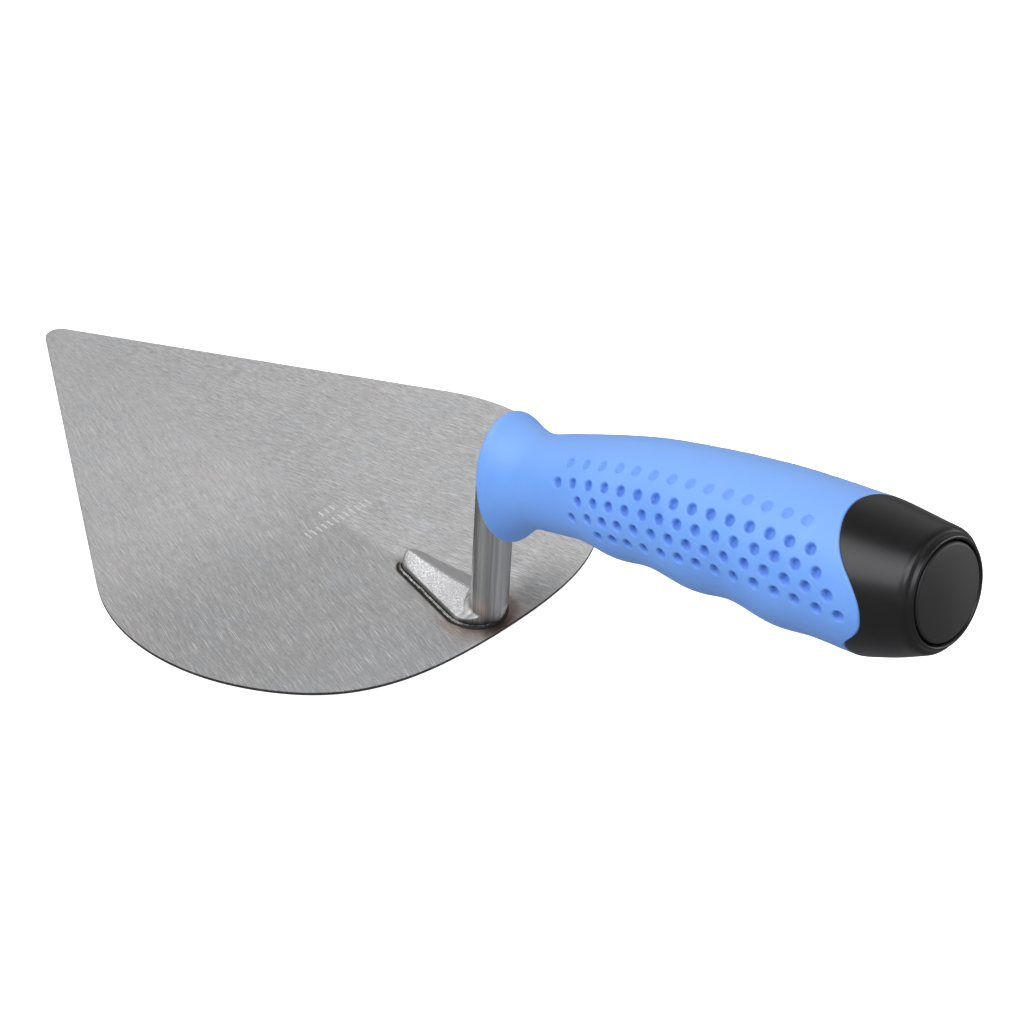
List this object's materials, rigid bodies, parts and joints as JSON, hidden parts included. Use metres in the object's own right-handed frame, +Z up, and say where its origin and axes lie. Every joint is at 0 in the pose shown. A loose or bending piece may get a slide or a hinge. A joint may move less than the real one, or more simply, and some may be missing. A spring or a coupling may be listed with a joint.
{
  "type": "brick trowel",
  "caption": "Brick trowel with a flat pointed steel blade, a welded cranked shank and a soft-grip plastic handle with a capped end.",
  "frame": {"origin": "middle of the blade's length, on the centreline of the blade's underside", "axes": "+X along the blade's centreline from the point towards the handle's end, +Y across the blade, +Z up from the blade's face to the handle side"},
  "size_m": [0.4029, 0.18, 0.1255],
  "materials": {
    "blade_steel": "satin brushed, two brushing directions that meet on the centreline",
    "shank_steel": "forged steel, foot shot-blasted, column polished lengthwise",
    "weld_steel": "dark scaled weld with a bright bead line",
    "core_plastic": "black satin moulding",
    "grip_rubber": "light blue soft over-moulding, satin, dimpled on both sides",
    "plug_plastic": "black satin moulding",
    "fastener_steel": "bright zinc plated"
  },
  "bodies": {
    "root": {"blade": "blade_steel", "shank": "shank_steel", "weld_bead": "weld_steel", "handle_core": "core_plastic", "soft_grip": "grip_rubber", "end_plug": "plug_plastic", "tang_washer": "fastener_steel", "tang_nut": "fastener_steel"}
  },
  "joints": []
}
